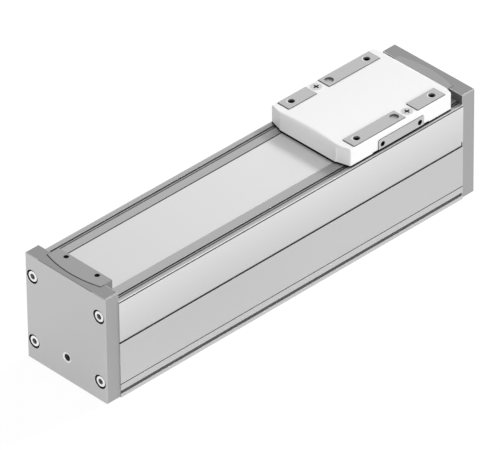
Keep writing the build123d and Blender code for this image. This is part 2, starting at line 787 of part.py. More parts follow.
# Carriage cover: a thin crowned shell with openings for the pads and the side bosses
with BuildPart() as carriage_cover:
    with BuildSketch(at_carriage(cover_front_bottom)):
        add(cover_plan())
        Rectangle(cover_length, front_width)
    extrude(amount=crest - cover_front_bottom)
    with BuildSketch(along_carriage()):
        with Locations((0, crest)):
            Rectangle(cover_length, crest - cover_front_bottom, align=(MID, MAX))
        fillet(vertices().group_by(Axis.Y)[-1], cover_end_radius)
    extrude(amount=cover_width, both=True, mode=Mode.INTERSECT)
    with BuildSketch(Plane.YZ.offset(carriage_x)):
        with BuildLine():
            ThreePointArc((-cover_crown_width / 2, cover_top), (0, crest), (cover_crown_width / 2, cover_top))
            Polyline((cover_crown_width / 2, cover_top), (cover_side, cover_top),
                     (cover_side, cover_front_bottom), (-cover_side, cover_front_bottom),
                     (-cover_side, cover_top), (-cover_crown_width / 2, cover_top))
        make_face()
        top_corners = vertices().group_by(Axis.Y)[-1].sort_by(Axis.X)
        fillet([top_corners[0], top_corners[-1]], cover_side_radius)
    extrude(amount=cover_length, both=True, mode=Mode.INTERSECT)
    with BuildSketch(at_carriage(cover_front_bottom)):
        Rectangle(2 * cover_length, 2 * cover_width)
        Rectangle(2 * cover_length, front_width, mode=Mode.SUBTRACT)
    extrude(amount=cover_bottom - cover_front_bottom, mode=Mode.SUBTRACT)
    with BuildSketch(at_carriage(cover_front_bottom)):
        add(cover_plan(cover_wall))
    extrude(amount=roof - cover_front_bottom, mode=Mode.SUBTRACT)
    with BuildSketch(at_carriage(roof - pad_foot - cover_fit)):
        add(pads_plan(cover_fit))
    extrude(amount=crest - roof + pad_foot + cover_fit, mode=Mode.SUBTRACT)
    with BuildSketch(boss_plane(-1, boss_bottom + boss_height / 2)):
        add(boss_outline(cover_fit))
    extrude(amount=body_side - pad_foot - boss_face, mode=Mode.SUBTRACT)
    with BuildSketch(boss_plane(1, boss_bottom + boss_height / 2)):
        add(boss_outline(cover_fit))
    extrude(amount=body_side - pad_foot - boss_face, mode=Mode.SUBTRACT)
    with BuildSketch(at_carriage(cover_bottom)):
        Rectangle(side_notch_length, 2 * cover_width)
    extrude(amount=side_notch_height, mode=Mode.SUBTRACT)
    with Locations((carriage_x - cover_screw_x, cover_screw_y, cover_top),
                   (carriage_x + cover_screw_x, -cover_screw_y, cover_top)):
        Cone(cover_screw_head / 2 - cover_skin + thread_play / 2, (cover_screw_head + thread_play) / 2,
             cover_skin, align=(MID, MID, MAX), mode=Mode.SUBTRACT)
carriage_cover.part.label = "carriage_cover"
export_step(carriage_cover.part, "parts/carriage_cover.step")

# Countersunk screws with a cross recess, one in each gap between the pads
with BuildPart() as cover_screws:
    with Locations((carriage_x - cover_screw_x, cover_screw_y, cover_top),
                   (carriage_x + cover_screw_x, -cover_screw_y, cover_top)):
        Cone(cover_screw_head / 2 - cover_skin, cover_screw_head / 2, cover_skin, align=(MID, MID, MAX))
        Cylinder((m4_core - thread_play) / 2, cover_screw_length, align=(MID, MID, MAX))
    with BuildSketch(at_carriage(cover_top)):
        with Locations((-cover_screw_x, cover_screw_y), (cover_screw_x, -cover_screw_y)):
            Rectangle(cover_screw_cross, cover_screw_cross_width)
            Rectangle(cover_screw_cross_width, cover_screw_cross)
    extrude(amount=-cover_screw_cross_depth, mode=Mode.SUBTRACT)
cover_screws.part.label = "cover_screws"
export_step(cover_screws.part, "parts/cover_screws.step")

# Slider: the plastic ramp on the bridge that lifts the strip
with BuildPart() as strip_slider:
    with BuildSketch(along_carriage()):
        with BuildLine():
            add_wave(-slider_gap, rise_start)
            add_wave(-slider_gap - slider_thickness, rise_start)
            Line((-rise_start, loop_bottom - slider_gap),
                 (-rise_start, loop_bottom - slider_gap - slider_thickness))
            Line((rise_start, loop_bottom - slider_gap),
                 (rise_start, loop_bottom - slider_gap - slider_thickness))
        make_face()
        with Locations((0, loop_bottom)):
            Rectangle(slider_length, 4 * strip_lift, mode=Mode.INTERSECT)
    extrude(amount=strip_width / 2 - slider_side_gap, both=True)
strip_slider.part.label = "strip_slider"
export_step(strip_slider.part, "parts/strip_slider.step")

# Pressers that lay the strip back on the profile
with BuildPart() as strip_presser_front:
    with BuildSketch(along_carriage()):
        with BuildLine():
            underside = strip_thickness + presser_gap
            add_wave(underside, presser_end)
            Polyline((-presser_end, loop_bottom + underside), (-presser_end, roof), (presser_end, roof),
                     (presser_end, loop_bottom + underside))
        make_face()
        with Locations((-presser_end, roof)):
            Rectangle(presser_length, 6 * strip_lift, align=(MIN, MID), mode=Mode.INTERSECT)
    extrude(amount=strip_width / 2 - presser_side_gap, both=True)
strip_presser_front.part.label = "strip_presser_front"
export_step(strip_presser_front.part, "parts/strip_presser_front.step")

with BuildPart() as strip_presser_rear:
    mirror(strip_presser_front.part, about=Plane.YZ.offset(carriage_x))
strip_presser_rear.part.label = "strip_presser_rear"
export_step(strip_presser_rear.part, "parts/strip_presser_rear.step")

# Wipers between the pressers and the cover's ends
with BuildPart() as strip_wiper_front:
    with BuildSketch(at_carriage(loop_bottom + strip_thickness + wiper_gap)):
        with Locations((-presser_end, 0)):
            Rectangle(wiper_thickness, strip_width - 2 * wiper_side_gap, align=(MAX, MID))
    extrude(amount=wiper_height)
strip_wiper_front.part.label = "strip_wiper_front"
export_step(strip_wiper_front.part, "parts/strip_wiper_front.step")

with BuildPart() as strip_wiper_rear:
    mirror(strip_wiper_front.part, about=Plane.YZ.offset(carriage_x))
strip_wiper_rear.part.label = "strip_wiper_rear"
export_step(strip_wiper_rear.part, "parts/strip_wiper_rear.step")

# Buffers on the inner faces of the caps
with BuildPart() as buffers_front:
    with BuildSketch(cap_inner):
        with Locations((-buffer_spread / 2, buffer_height), (buffer_spread / 2, buffer_height)):
            Circle(buffer_width / 2)
    extrude(amount=half_length - carriage_x - saddle_length / 2 - buffer_gap)
    with BuildSketch(cap_inner):
        with Locations((-buffer_spread / 2, buffer_height), (buffer_spread / 2, buffer_height)):
            Circle(buffer_stem_width / 2)
    extrude(amount=-buffer_stem_length)
buffers_front.part.label = "buffers_front"
export_step(buffers_front.part, "parts/buffers_front.step")

with BuildPart() as buffers_rear:
    mirror(buffers_front.part, about=Plane.YZ)
buffers_rear.part.label = "buffers_rear"
export_step(buffers_rear.part, "parts/buffers_rear.step")
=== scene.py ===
import bpy
import bmesh
from math import atan2, cos, pi, radians, sin
from mathutils import Matrix, Vector


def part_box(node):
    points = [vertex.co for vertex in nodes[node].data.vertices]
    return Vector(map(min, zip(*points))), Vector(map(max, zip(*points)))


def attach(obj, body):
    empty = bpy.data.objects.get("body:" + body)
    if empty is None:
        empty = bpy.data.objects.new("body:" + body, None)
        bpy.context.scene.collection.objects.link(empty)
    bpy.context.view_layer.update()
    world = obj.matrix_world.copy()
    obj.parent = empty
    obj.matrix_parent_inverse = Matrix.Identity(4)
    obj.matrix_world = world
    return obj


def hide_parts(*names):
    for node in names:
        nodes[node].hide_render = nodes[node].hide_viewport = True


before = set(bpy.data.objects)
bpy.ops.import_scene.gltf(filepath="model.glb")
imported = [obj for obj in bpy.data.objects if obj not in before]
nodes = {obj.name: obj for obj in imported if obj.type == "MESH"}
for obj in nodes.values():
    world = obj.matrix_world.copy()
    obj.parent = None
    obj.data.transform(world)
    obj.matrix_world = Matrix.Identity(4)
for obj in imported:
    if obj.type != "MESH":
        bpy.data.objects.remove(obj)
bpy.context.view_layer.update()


# Viewpoint: a long lens, looking down on the front end cap and the right-hand side of the axis.
# Its place and turn were fitted to the corners of the end caps and the profile.
azimuth, elevation, roll = radians(-43.900), radians(35.402), radians(-0.660)
distance, shift_right, shift_up = 5.4714, -0.003029, 0.033441
sensor_width, focal_pixels, picture_width_pixels = 36.0, 7764.7, 500.0
back = Vector((sin(azimuth) * cos(elevation), -cos(azimuth) * cos(elevation), sin(elevation)))
level_right = Vector((cos(azimuth), sin(azimuth), 0))
level_up = back.cross(level_right)
right = cos(roll) * level_right + sin(roll) * level_up
up = -sin(roll) * level_right + cos(roll) * level_up
camera = bpy.data.objects.new("camera", bpy.data.cameras.new("camera"))
bpy.context.scene.collection.objects.link(camera)
camera.data.sensor_fit = "HORIZONTAL"
camera.data.sensor_width = sensor_width
camera.data.lens = sensor_width * focal_pixels / picture_width_pixels
camera.matrix_world = Matrix.Translation(
    distance * back + shift_right * right + shift_up * up) @ Matrix((right, up, back)).transposed().to_4x4()
bpy.context.scene.camera = camera
bpy.context.scene.view_settings.view_transform = "Standard"


# Studio: an even pale room with two broad lamps. One stands high behind the carriage, which lays a
# soft shadow on the strip, and the other lights the right-hand side.
def rgba(shade):
    """A colour from one grey value or from three values."""
    return (*((shade,) * 3 if isinstance(shade, float) else shade), 1)


def step(tree, kind, sources, **settings):
    """A node with these settings, whose input sockets take a link or a plain value."""
    node = tree.nodes.new(kind)
    for key, value in settings.items():
        setattr(node, key, value)
    for key, value in sources.items():
        if isinstance(value, bpy.types.NodeSocket):
            tree.links.new(value, node.inputs[key])
        else:
            node.inputs[key].default_value = value
    return node


def sees_backdrop(tree):
    """1 where the camera, a reflection or a glass looks at the backdrop, and 0 for its light."""
    path = step(tree, "ShaderNodeLightPath", {}).outputs
    seen = path["Is Camera Ray"]
    for other in ("Is Glossy Ray", "Is Transmission Ray"):
        seen = step(tree, "ShaderNodeMath", {0: seen, 1: path[other]}, operation="MAXIMUM").outputs[0]
    return seen


room = bpy.data.worlds.new("studio_room")
room.use_nodes = True
room_tree = room.node_tree
room_light = room_tree.nodes["Background"]
room_light.inputs["Color"].default_value = rgba(0.50)
room_white = step(room_tree, "ShaderNodeBackground", {"Color": rgba(1.0)})
room_mix = step(room_tree, "ShaderNodeMixShader",
                {"Fac": sees_backdrop(room_tree), 1: room_light.outputs[0], 2: room_white.outputs[0]})
room_tree.links.new(room_mix.outputs[0], room_tree.nodes["World Output"].inputs["Surface"])
bpy.context.scene.world = room

for lamp_name, energy, spread, towards in (("high_lamp", 2.08, 14, (0.74, -0.05, 0.68)),
                                           ("side_lamp", 1.80, 40, (-0.06, -0.98, 0.15))):
    lamp = bpy.data.objects.new(lamp_name, bpy.data.lights.new(lamp_name, "SUN"))
    bpy.context.scene.collection.objects.link(lamp)
    lamp.data.energy = energy
    lamp.data.angle = radians(spread)
    lamp.rotation_mode = "QUATERNION"
    lamp.rotation_quaternion = Vector(towards).to_track_quat("Z", "Y")

floor_mesh = bmesh.new()
bmesh.ops.create_grid(floor_mesh, x_segments=2, y_segments=2, size=6.0)
floor = bpy.data.objects.new("floor", bpy.data.meshes.new("floor"))
floor_mesh.to_mesh(floor.data)
floor_mesh.free()
bpy.context.scene.collection.objects.link(floor)
floor_paper = bpy.data.materials.new("floor_paper")
floor_paper.use_nodes = True
paper = floor_paper.node_tree
paper.nodes.remove(paper.nodes["Principled BSDF"])
paper_lit = step(paper, "ShaderNodeBsdfDiffuse", {"Color": rgba(0.70)})
paper_shade = step(paper, "ShaderNodeBsdfDiffuse", {"Color": rgba(0.13)})
paper_glow = step(paper, "ShaderNodeEmission", {"Strength": 0.91})
paper_seen = step(paper, "ShaderNodeAddShader", {0: paper_shade.outputs[0], 1: paper_glow.outputs[0]})
paper_mix = step(paper, "ShaderNodeMixShader",
                 {"Fac": sees_backdrop(paper), 1: paper_lit.outputs[0], 2: paper_seen.outputs[0]})
paper.links.new(paper_mix.outputs[0], paper.nodes["Material Output"].inputs["Surface"])
floor.data.materials.append(floor_paper)


# Profile barrel: one aluminium extrusion, anodised in its natural colour. It comes from the die
# with fine lines along its length, and painted shade darkens the insides of its slots.
def effect(name, inputs, outputs):
    """A node group with these inputs, each with its value, and these outputs."""
    group = bpy.data.node_groups.new(name, "ShaderNodeTree")
    kinds = {"Vector": "NodeSocketVector", "Colour": "NodeSocketColor", "Value": "NodeSocketFloat"}
    for direction, sockets in (("INPUT", inputs), ("OUTPUT", outputs)):
        for label, kind, value in sockets:
            socket = group.interface.new_socket(label, in_out=direction, socket_type=kinds[kind])
            if value is not None:
                socket.default_value = value
    return group, group.nodes.new("NodeGroupInput").outputs, group.nodes.new("NodeGroupOutput").inputs


def around_one(tree, noise, contrast):
    """A noise of 0 to 1 turned into a tone that varies about 1 by the contrast."""
    centred = step(tree, "ShaderNodeMath", {0: noise, 1: 0.5}, operation="SUBTRACT")
    return step(tree, "ShaderNodeMath", {0: centred.outputs[0], 1: contrast, 2: 1.0},
                operation="MULTIPLY_ADD").outputs[0]


die_lines, given, put = effect(
    "die_lines", [("Place", "Vector", None), ("Fineness", "Value", 1.0), ("Contrast", "Value", 0.03)],
    [("Tone", "Value", None), ("Height", "Value", None)])
fine_place = step(die_lines, "ShaderNodeVectorMath", {0: given["Place"], "Scale": given["Fineness"]},
                  operation="SCALE")
long_place = step(die_lines, "ShaderNodeMapping",
                  {"Vector": fine_place.outputs[0], "Scale": (6.0, 1400.0, 1400.0)})
line_noise = step(die_lines, "ShaderNodeTexNoise",
                  {"Vector": long_place.outputs[0], "Scale": 1.0, "Detail": 4.0, "Roughness": 0.65})
die_lines.links.new(around_one(die_lines, line_noise.outputs["Fac"], given["Contrast"]), put["Tone"])
die_lines.links.new(line_noise.outputs["Fac"], put["Height"])

fine_grain, given, put = effect(
    "fine_grain", [("Place", "Vector", None), ("Grains", "Value", 3000.0), ("Contrast", "Value", 0.04)],
    [("Tone", "Value", None), ("Height", "Value", None)])
grain_noise = step(fine_grain, "ShaderNodeTexNoise",
                   {"Vector": given["Place"], "Scale": given["Grains"], "Detail": 2.0, "Roughness": 0.6})
cloud_noise = step(fine_grain, "ShaderNodeTexNoise",
                   {"Vector": given["Place"], "Scale": 22.0, "Detail": 2.0, "Roughness": 0.5})
both_noises = step(fine_grain, "ShaderNodeMath",
                   {0: grain_noise.outputs["Fac"], 1: cloud_noise.outputs["Fac"]}, operation="ADD")
mean_noise = step(fine_grain, "ShaderNodeMath", {0: both_noises.outputs[0], 1: 0.5}, operation="MULTIPLY")
fine_grain.links.new(around_one(fine_grain, mean_noise.outputs[0], given["Contrast"]), put["Tone"])
fine_grain.links.new(grain_noise.outputs["Fac"], put["Height"])

# Painted light: each face takes the tone of the sides, the top or the ends by the way it faces, lighter or
# darker as the lamps would light it.
painted_light_by_facing, given, put = effect(
    "painted_light_by_facing", [("Facing", "Vector", None), ("Sides", "Colour", rgba(0.7)), ("Top", "Colour", rgba(0.5)),
                   ("Ends", "Colour", rgba(0.6))], [("Colour", "Colour", None)])
facing_parts = step(painted_light_by_facing, "ShaderNodeSeparateXYZ", {"Vector": given["Facing"]})
end_share, top_share = (
    step(painted_light_by_facing, "ShaderNodeMath", {0: facing_parts.outputs[axis], 1: facing_parts.outputs[axis]},
         operation="MULTIPLY").outputs[0] for axis in "XZ")
side_or_top = step(painted_light_by_facing, "ShaderNodeMix", {0: top_share, 6: given["Sides"], 7: given["Top"]},
                   data_type="RGBA")
any_face = step(painted_light_by_facing, "ShaderNodeMix", {0: end_share, 6: side_or_top.outputs[2], 7: given["Ends"]},
                data_type="RGBA")
painted_light_by_facing.links.new(any_face.outputs[2], put["Colour"])

# The region is a box about its middle, folded so that it lies on both sides of it. Its mask rises
# inwards from the low limits over the rise, and is sharp at the high ones.
sharp = (0.000001,) * 3
region, given, put = effect(
    "region", [("Place", "Vector", None), ("Middle", "Vector", (0, 0, 0)), ("Low", "Vector", (0, 0, 0)),
               ("High", "Vector", (1, 1, 1)), ("Rise", "Vector", sharp)], [("Mask", "Value", None)])
centred_place = step(region, "ShaderNodeVectorMath", {0: given["Place"], 1: given["Middle"]},
                     operation="SUBTRACT")
folded_place = step(region, "ShaderNodeVectorMath", {0: centred_place.outputs[0]}, operation="ABSOLUTE")
over_low = step(region, "ShaderNodeVectorMath", {0: folded_place.outputs[0], 1: given["Low"]},
                operation="SUBTRACT")
under_high = step(region, "ShaderNodeVectorMath", {0: given["High"], 1: folded_place.outputs[0]},
                  operation="SUBTRACT")
region_mask = 1.0
for reach_in, width in ((over_low, given["Rise"]), (under_high, sharp)):
    share = step(region, "ShaderNodeVectorMath", {0: reach_in.outputs[0], 1: width}, operation="DIVIDE")
    shares = step(region, "ShaderNodeSeparateXYZ", {"Vector": share.outputs[0]})
    for axis in "XYZ":
        inside = step(region, "ShaderNodeClamp", {"Value": shares.outputs[axis]})
        region_mask = step(region, "ShaderNodeMath", {0: region_mask, 1: inside.outputs[0]},
                           operation="MULTIPLY").outputs[0]
region.links.new(region_mask, put["Mask"])

round_spot, given, put = effect(
    "round_spot", [("Place", "Vector", None), ("Centre", "Vector", (0, 0, 0)), ("Flat", "Vector", (1, 1, 0)),
                   ("Radius", "Value", 0.004)], [("Mask", "Value", None)])
from_centre = step(round_spot, "ShaderNodeVectorMath", {0: given["Place"], 1: given["Centre"]},
                   operation="SUBTRACT")
flattened = step(round_spot, "ShaderNodeVectorMath", {0: from_centre.outputs[0], 1: given["Flat"]},
                 operation="MULTIPLY")
spot_distance = step(round_spot, "ShaderNodeVectorMath", {0: flattened.outputs[0]}, operation="LENGTH")
in_spot = step(round_spot, "ShaderNodeMath", {0: spot_distance.outputs["Value"], 1: given["Radius"]},
               operation="LESS_THAN")
round_spot.links.new(in_spot.outputs[0], put["Mask"])

# Painted highlight along edges: the mask rises where the softened normal turns away from the face's own
# normal.
painted_edge_highlight, given, put = effect(
    "painted_edge_highlight", [("Facing", "Vector", None), ("Softened", "Vector", None), ("Strength", "Value", 4.0)],
    [("Mask", "Value", None)])
alike = step(painted_edge_highlight, "ShaderNodeVectorMath", {0: given["Facing"], 1: given["Softened"]},
             operation="DOT_PRODUCT")
unlike = step(painted_edge_highlight, "ShaderNodeMath", {0: 1.0, 1: alike.outputs["Value"]}, operation="SUBTRACT")
stronger = step(painted_edge_highlight, "ShaderNodeMath", {0: unlike.outputs[0], 1: given["Strength"]},
                operation="MULTIPLY", use_clamp=True)
painted_edge_highlight.links.new(stronger.outputs[0], put["Mask"])


def finish(name, metallic, roughness, sides, top=None, ends=None, lines=0.0, line_fineness=1.0,
           grains=3000.0, grain=0.03, bump=0.00001, edge=0.0002, edge_highlight=0.0, edge_highlight_tone=0.9):
    """A finish: its painted light and shade by the way each face faces, its lines and grain, its softened
    edges and, where asked, a painted highlight along its edges.
    """
    made = bpy.data.materials.new(name)
    made.use_nodes = True
    tree = made.node_tree
    surface = tree.nodes["Principled BSDF"]
    surface.inputs["Metallic"].default_value = metallic
    surface.inputs["Roughness"].default_value = roughness
    where = step(tree, "ShaderNodeTexCoord", {}).outputs
    tones = step(tree, "ShaderNodeGroup", {}, node_tree=painted_light_by_facing)
    tree.links.new(where["Normal"], tones.inputs["Facing"])
    for label, shade in (("Sides", sides), ("Top", top or sides), ("Ends", ends or sides)):
        tones.inputs[label].default_value = rgba(shade)
    grain_part = step(tree, "ShaderNodeGroup", {}, node_tree=fine_grain)
    tree.links.new(where["Object"], grain_part.inputs["Place"])
    grain_part.inputs["Grains"].default_value = grains
    grain_part.inputs["Contrast"].default_value = grain
    tone, height = grain_part.outputs["Tone"], grain_part.outputs["Height"]
    if lines:
        line_part = step(tree, "ShaderNodeGroup", {}, node_tree=die_lines)
        tree.links.new(where["Object"], line_part.inputs["Place"])
        line_part.inputs["Fineness"].default_value = line_fineness
        line_part.inputs["Contrast"].default_value = lines
        tone = step(tree, "ShaderNodeMath", {0: tone, 1: line_part.outputs["Tone"]},
                    operation="MULTIPLY").outputs[0]
        height = step(tree, "ShaderNodeMath", {0: height, 1: line_part.outputs["Height"]},
                      operation="ADD").outputs[0]
    colour = step(tree, "ShaderNodeVectorMath", {0: tones.outputs["Colour"], "Scale": tone},
                  operation="SCALE").outputs[0]
    tree.links.new(colour, surface.inputs["Base Color"])
    softened = step(tree, "ShaderNodeBevel", {"Radius": edge}, samples=8 if edge_highlight else 4)
    bumps = step(tree, "ShaderNodeBump", {"Height": height, "Distance": bump, "Strength": 0.6,
                                          "Normal": softened.outputs[0]})
    tree.links.new(bumps.outputs[0], surface.inputs["Normal"])
    if edge_highlight:
        edge_highlight_part = step(tree, "ShaderNodeGroup", {}, node_tree=painted_edge_highlight)
        tree.links.new(step(tree, "ShaderNodeNewGeometry", {}).outputs["True Normal"],
                       edge_highlight_part.inputs["Facing"])
        tree.links.new(softened.outputs[0], edge_highlight_part.inputs["Softened"])
        edge_highlight_part.inputs["Strength"].default_value = edge_highlight
        overlay(made, edge_highlight_part.outputs["Mask"], edge_highlight_tone)
    return made


def overlay(material, mask, tone):
    """Lays a tone over a finish where the mask is 1."""
    tree = material.node_tree
    target = tree.nodes["Principled BSDF"].inputs["Base Color"]
    laid = step(tree, "ShaderNodeMix", {0: mask, 6: target.links[0].from_socket, 7: rgba(tone)},
                data_type="RGBA")
    tree.links.new(laid.outputs[2], target)
    return laid


def mask_of(material, group, **values):
    """A mask for this finish from one of the groups, with these values."""
    tree = material.node_tree
    part = step(tree, "ShaderNodeGroup", {}, node_tree=group)
    tree.links.new(tree.nodes["Texture Coordinate"].outputs["Object"], part.inputs["Place"])
    for label, value in values.items():
        part.inputs[label].default_value = value
    return part.outputs["Mask"]


def tint(material, tone, group, **values):
    """Lays a tone over a finish inside a region or a spot."""
    return overlay(material, mask_of(material, group, **values), tone)


def dress(node_name, material):
    """Gives a node of the model its finish."""
    mesh = nodes[node_name].data
    mesh.materials.clear()
    mesh.materials.append(material)


# The extrusion's top is painted darker than its sides and ends, as painted light by facing.
anodised = finish("anodised_extrusion", 0.55, 0.42, 0.565, 0.38, 0.55, lines=0.05, grain=0.04)
profile_end, profile_side, profile_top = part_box("profile_barrel")[1]
side_skin = profile_side - 0.0003
within = (profile_end - 0.0001, profile_side - 0.00015, profile_top - 0.0001)
just_under_top = profile_top - 0.0002
ridge_low, ridge_high = 0.0803, 0.0807
away = 0.1
both, right_side, left_side = (0, 0, 0), (0, away, 0), (0, -away, 0)

# Each shade is painted light or shade on the profile and says what it covers, on which side of the profile,
# from where to where, over how far it rises, and its tone. A middle that lies away to one side leaves the
# shade on the other side alone.
# The sides are painted lighter towards the top, the right rim and the ridges get painted highlights, and the
# lines, grooves, groove edges, clamping groove and insides get painted shade.
for shade_name, middle, low, high, rise, tone in (
        ("upper side", both, (0, side_skin, 0.0475), (1, 1, 1), (*sharp[:2], 0.031), 0.68),
        ("lower side", both, (0, side_skin, 0), (1, 1, 0.0465), sharp, 0.525),
        ("right rim", right_side, (0, away + 0.0396, 0.0800), (1, 1, 1), (sharp[0], 0.0012, sharp[2]), 0.75),
        ("upper line", both, (0, side_skin, 0.0798), (1, 1, 0.08085), sharp, 0.05),
        ("middle line", both, (0, side_skin, 0.0457), (1, 1, 0.0473), sharp, 0.06),
        ("right groove's outer edge", right_side, (0, away + 0.0362, just_under_top),
         (1, away + 0.0373, 1), sharp, 0.02),
        ("left groove's inner edge", left_side, (0, away + 0.0333, just_under_top),
         (1, away + 0.0345, 1), sharp, 0.02),
        ("insides", both, (0, 0, 0), within, sharp, 0.05),
        ("upper insides", both, (0, 0, 0.0700), within, sharp, 0.12),
        ("right ridge", right_side, (0, away + 0.0347, ridge_low),
         (within[0], away + 0.0352, ridge_high), sharp, 0.45),
        ("left ridge", left_side, (0, away + 0.0350, ridge_low),
         (within[0], away + 0.0361, ridge_high), sharp, 0.34),
        ("left groove's wall", left_side, (0, away + 0.0366, 0.0790),
         (within[0], away + 0.0368, within[2]), sharp, 0.26),
        ("left lane's edge at the strip", left_side, (0, away + 0.02575, 0.0800),
         (1, away + 0.0263, 1), sharp, 0.03),
        ("lower line", both, (0, profile_side - 0.0006, 0.01085), (1, 1, 0.01155), sharp, 0.04),
        ("clamping groove", both, (0, 0.0300, 0.0025), (*within[:2], 0.0063), sharp, 0.36)):
    tint(anodised, tone, region, Middle=middle, Low=low, High=high, Rise=rise).label = shade_name
dress("profile_barrel", anodised)


# End caps: milled aluminium plates, anodised. Their outer faces are painted lighter and their sides and tops
# darker as painted light, a painted highlight runs along their edges, and painted shade darkens their bores
# and inner faces.
cap_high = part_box("end_cap_rear")[1]
cap_within = (cap_high[0] - 0.00015, cap_high[1] - 0.0006, cap_high[2] - 0.0006)
counterbore_high = 0.0785
clamp_pocket = {"Low": (0.1680, 0, 0.0885), "High": (1, 0.0272, 1)}
pocket_centre, pocket_radius = (-0.0845, 0, 0), 0.0918
port_height = 19.4
port_face_radius, port_mouth_radius = 0.0042, 0.0028
milled_plate = finish("milled_plate", 0.45, 0.45, 0.35, 0.25, 0.64, grain=0.05, edge=0.0005,
                      edge_highlight=5.0, edge_highlight_tone=0.95)
# The clamp's pocket takes the top's painted tone, which hides the painted edge highlight round it.
tint(milled_plate, 0.25, region, **clamp_pocket)
# Painted shadow: a dark line on the front cap round the arc of the clamp, where the cap's pocket ends.
front_seam_shadow = step(milled_plate.node_tree, "ShaderNodeMath", {
    0: mask_of(milled_plate, round_spot, Centre=pocket_centre, Radius=pocket_radius),
    1: mask_of(milled_plate, region, **clamp_pocket)}, operation="MULTIPLY")
overlay(milled_plate, front_seam_shadow.outputs[0], 0.03)
# Painted shade: the inner faces and the bores of each cap are painted dark, and darker still below the
# height of the upper counterbores.
tint(milled_plate, 0.13, region, High=cap_within)
tint(milled_plate, 0.05, region, High=(*cap_within[:2], counterbore_high))
# A bright ring is painted on the cap round each port for its spot face, and the port's mouth is painted dark
# as shade.
for radius, tone in ((port_face_radius, 0.95), (port_mouth_radius, 0.04)):
    tint(milled_plate, tone, round_spot, Centre=(0, 0, port_height / 1000), Flat=(0, 1, 1), Radius=radius)
dress("end_cap_front", milled_plate)
dress("end_cap_rear", milled_plate)


# Cap screws: zinc plated steel screws with a hexagon socket, four to a cap. Each is sunk in a
# counterbore, and the sides of its head and its socket are painted dark and grey as shade, which leaves a
# dark ring round its head.
def reach_at(angle, radius, shape):
    """A ring's reach at this angle: 0 is round, 3 or more are corners, and less is a cross's width."""
    if shape == 0:
        return radius
    if shape >= 3:
        return radius / cos(angle % (2 * pi / shape) - pi / shape)
    turn = abs((angle + pi / 4) % (pi / 2) - pi / 4)
    return min(radius / cos(turn), shape / 2 / max(sin(turn), 0.001))


def turned(rings, place, facets=48):
    """A turned and broached piece, closed at both ends, from the tip of its shank to the bottom of its
    recess. Each ring has its radius and height in millimetres, its shape and the number of its shade."""
    bm = bmesh.new()
    first_radius, first_height = rings[0][:2]
    bmesh.ops.create_circle(bm, cap_ends=True, segments=facets, radius=first_radius,
                            matrix=Matrix.Translation((0, 0, first_height)))
    edges = bm.edges[:]
    for radius, height, shape, shade in rings[1:]:
        made = bmesh.ops.extrude_edge_only(bm, edges=edges)["geom"]
        edges = [item for item in made if isinstance(item, bmesh.types.BMEdge)]
        for item in made:
            if isinstance(item, bmesh.types.BMFace):
                item.material_index = shade
            elif isinstance(item, bmesh.types.BMVert):
                angle = atan2(item.co.y, item.co.x)
                reach = reach_at(angle, radius, shape)
                item.co = Vector((reach * cos(angle), reach * sin(angle), height))
    for face in bmesh.ops.contextual_create(bm, geom=edges)["faces"]:
        face.material_index = shade
    bmesh.ops.recalc_face_normals(bm, faces=bm.faces)
    bm.transform(place)
    return bm


def gather(name, parts, materials, body, node_name=None, smooth_under=radians(35)):
    """Joins the parts into one piece, which rides on a body and may stand for a node."""
    piece = bpy.data.objects.new(name, bpy.data.meshes.new(name))
    joined = bmesh.new()
    for part in parts:
        part.to_mesh(piece.data)
        part.free()
        joined.from_mesh(piece.data)
    joined.to_mesh(piece.data)
    joined.free()
    for material in materials:
        piece.data.materials.append(material)
    bpy.context.scene.collection.objects.link(piece)
    piece.data.shade_smooth()
    piece.data.set_sharp_from_angle(angle=smooth_under)
    if node_name:
        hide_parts(node_name)
    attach(piece, body)


def upright(x, y, z):
    """The place of an upright piece that is drawn in millimetres."""
    return Matrix.Scale(0.001, 4) @ Matrix.Translation((x, y, z))


def on_cap(side, y, z, depth):
    """The place of a piece on the outer face of the front (-1) or rear (1) cap, sunk by depth."""
    return upright(side * (1000 * cap_high[0] - depth), y, z) @ Matrix.Rotation(side * pi / 2, 4, "Y")


zinc = finish("zinc_plate", 0.80, 0.28, 0.90, 0.86, 0.95, grains=5000.0, grain=0.05, edge=0.0001)
# Black oxide steel for the real dark screws, set screws and plugs, also used as painted shade on the cap
# screws' head sides and sockets and in the cross recesses.
dark_steel_and_recess_shade = finish("black_oxide_and_recess_shade", 0.30, 0.45, 0.05, grains=5000.0, grain=0.15, edge=0.0001)
# A grey painted as shade deep in the cap screws' sockets.
socket_shade_grey = finish("socket_shade_grey", 0.30, 0.45, 0.32, grains=5000.0, grain=0.15, edge=0.0001)
# Shade 0 is the zinc, shade 1 the dark steel painted as shade on the head's sides and the socket's mouth,
# and shade 2 the grey painted as shade deep in the socket.
cap_screw = [(2.45, -19.0, 0, 0), (2.45, -5.4, 0, 0), (2.5, -5.0, 0, 0), (2.5, 0.0, 0, 0),
             (4.05, 0.0, 0, 1), (4.25, 0.2, 0, 1), (4.25, 4.6, 0, 1), (4.15, 4.85, 0, 0),
             (3.95, 5.0, 0, 0), (2.25, 5.0, 0, 0), (1.9, 4.75, 6, 1), (1.85, 2.4, 6, 2), (0.3, 1.9, 0, 2)]
cap_screw_side, cap_screw_low, cap_screw_high, cap_screw_sink = 33.3, 16.15, 71.3, 5.4
for end, side in (("front", -1), ("rear", 1)):
    gather("socket_screws_" + end,
           [turned(cap_screw, on_cap(side, y, z, cap_screw_sink)) for y in (-cap_screw_side, cap_screw_side)
            for z in (cap_screw_low, cap_screw_high)],
           [zinc, dark_steel_and_recess_shade, socket_shade_grey], "axis", "cap_screws_" + end)


